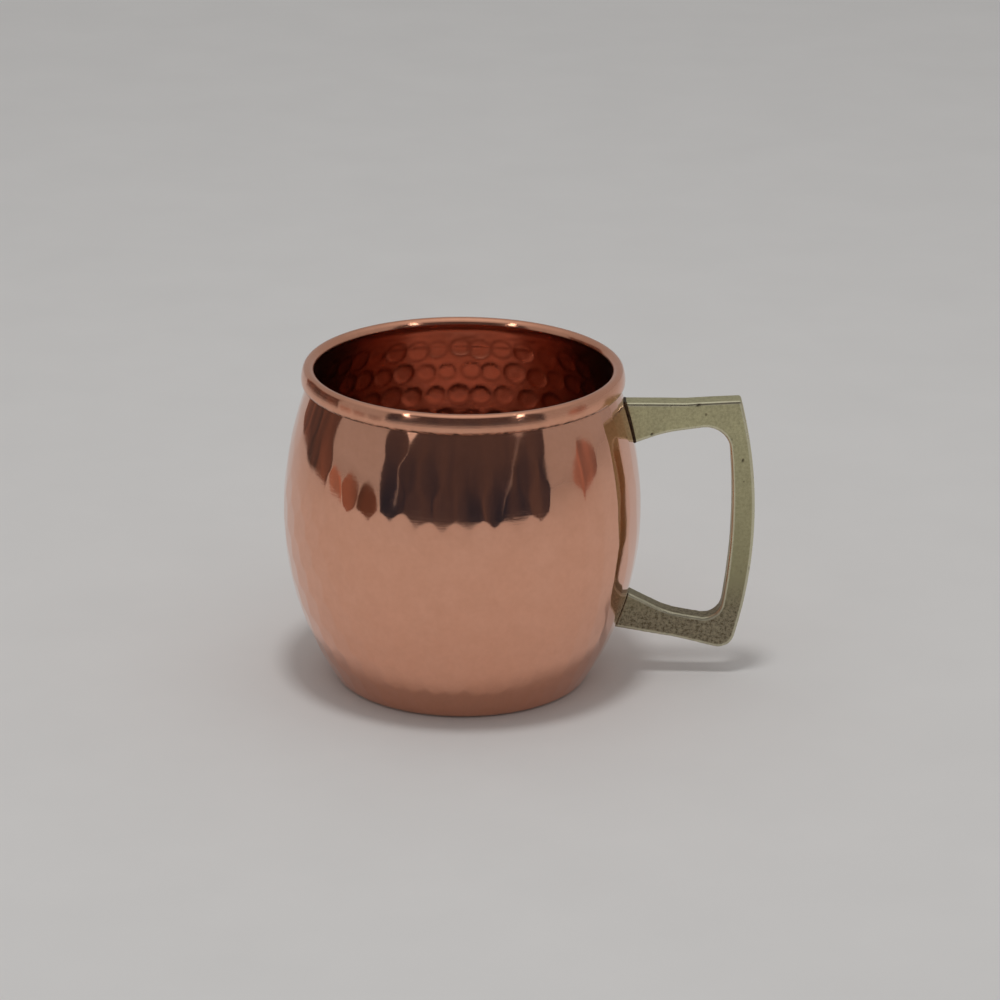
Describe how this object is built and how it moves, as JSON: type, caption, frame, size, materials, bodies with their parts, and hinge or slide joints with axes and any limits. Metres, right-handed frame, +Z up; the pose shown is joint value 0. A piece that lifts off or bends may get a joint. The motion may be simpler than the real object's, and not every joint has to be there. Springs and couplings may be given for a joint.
{
  "type": "copper mug",
  "caption": "Barrel-shaped hammered copper drinking mug with a hollow rolled rim and a flat, angular cast brass handle brazed to its side.",
  "frame": {"origin": "centre of the plane that the mug stands on, on the mug's axis", "axes": "+Z up along the mug's axis, +X from the axis towards the handle"},
  "size_m": [0.122, 0.0926, 0.0843],
  "materials": {
    "copper": "polished, hammered copper",
    "cast_brass": "satin sand-cast brass",
    "braze": "dull, oxidised brazing filler"
  },
  "bodies": {
    "root": {"body": "copper", "handle": "cast_brass", "upper_braze": "braze", "lower_braze": "braze"}
  },
  "joints": []
}
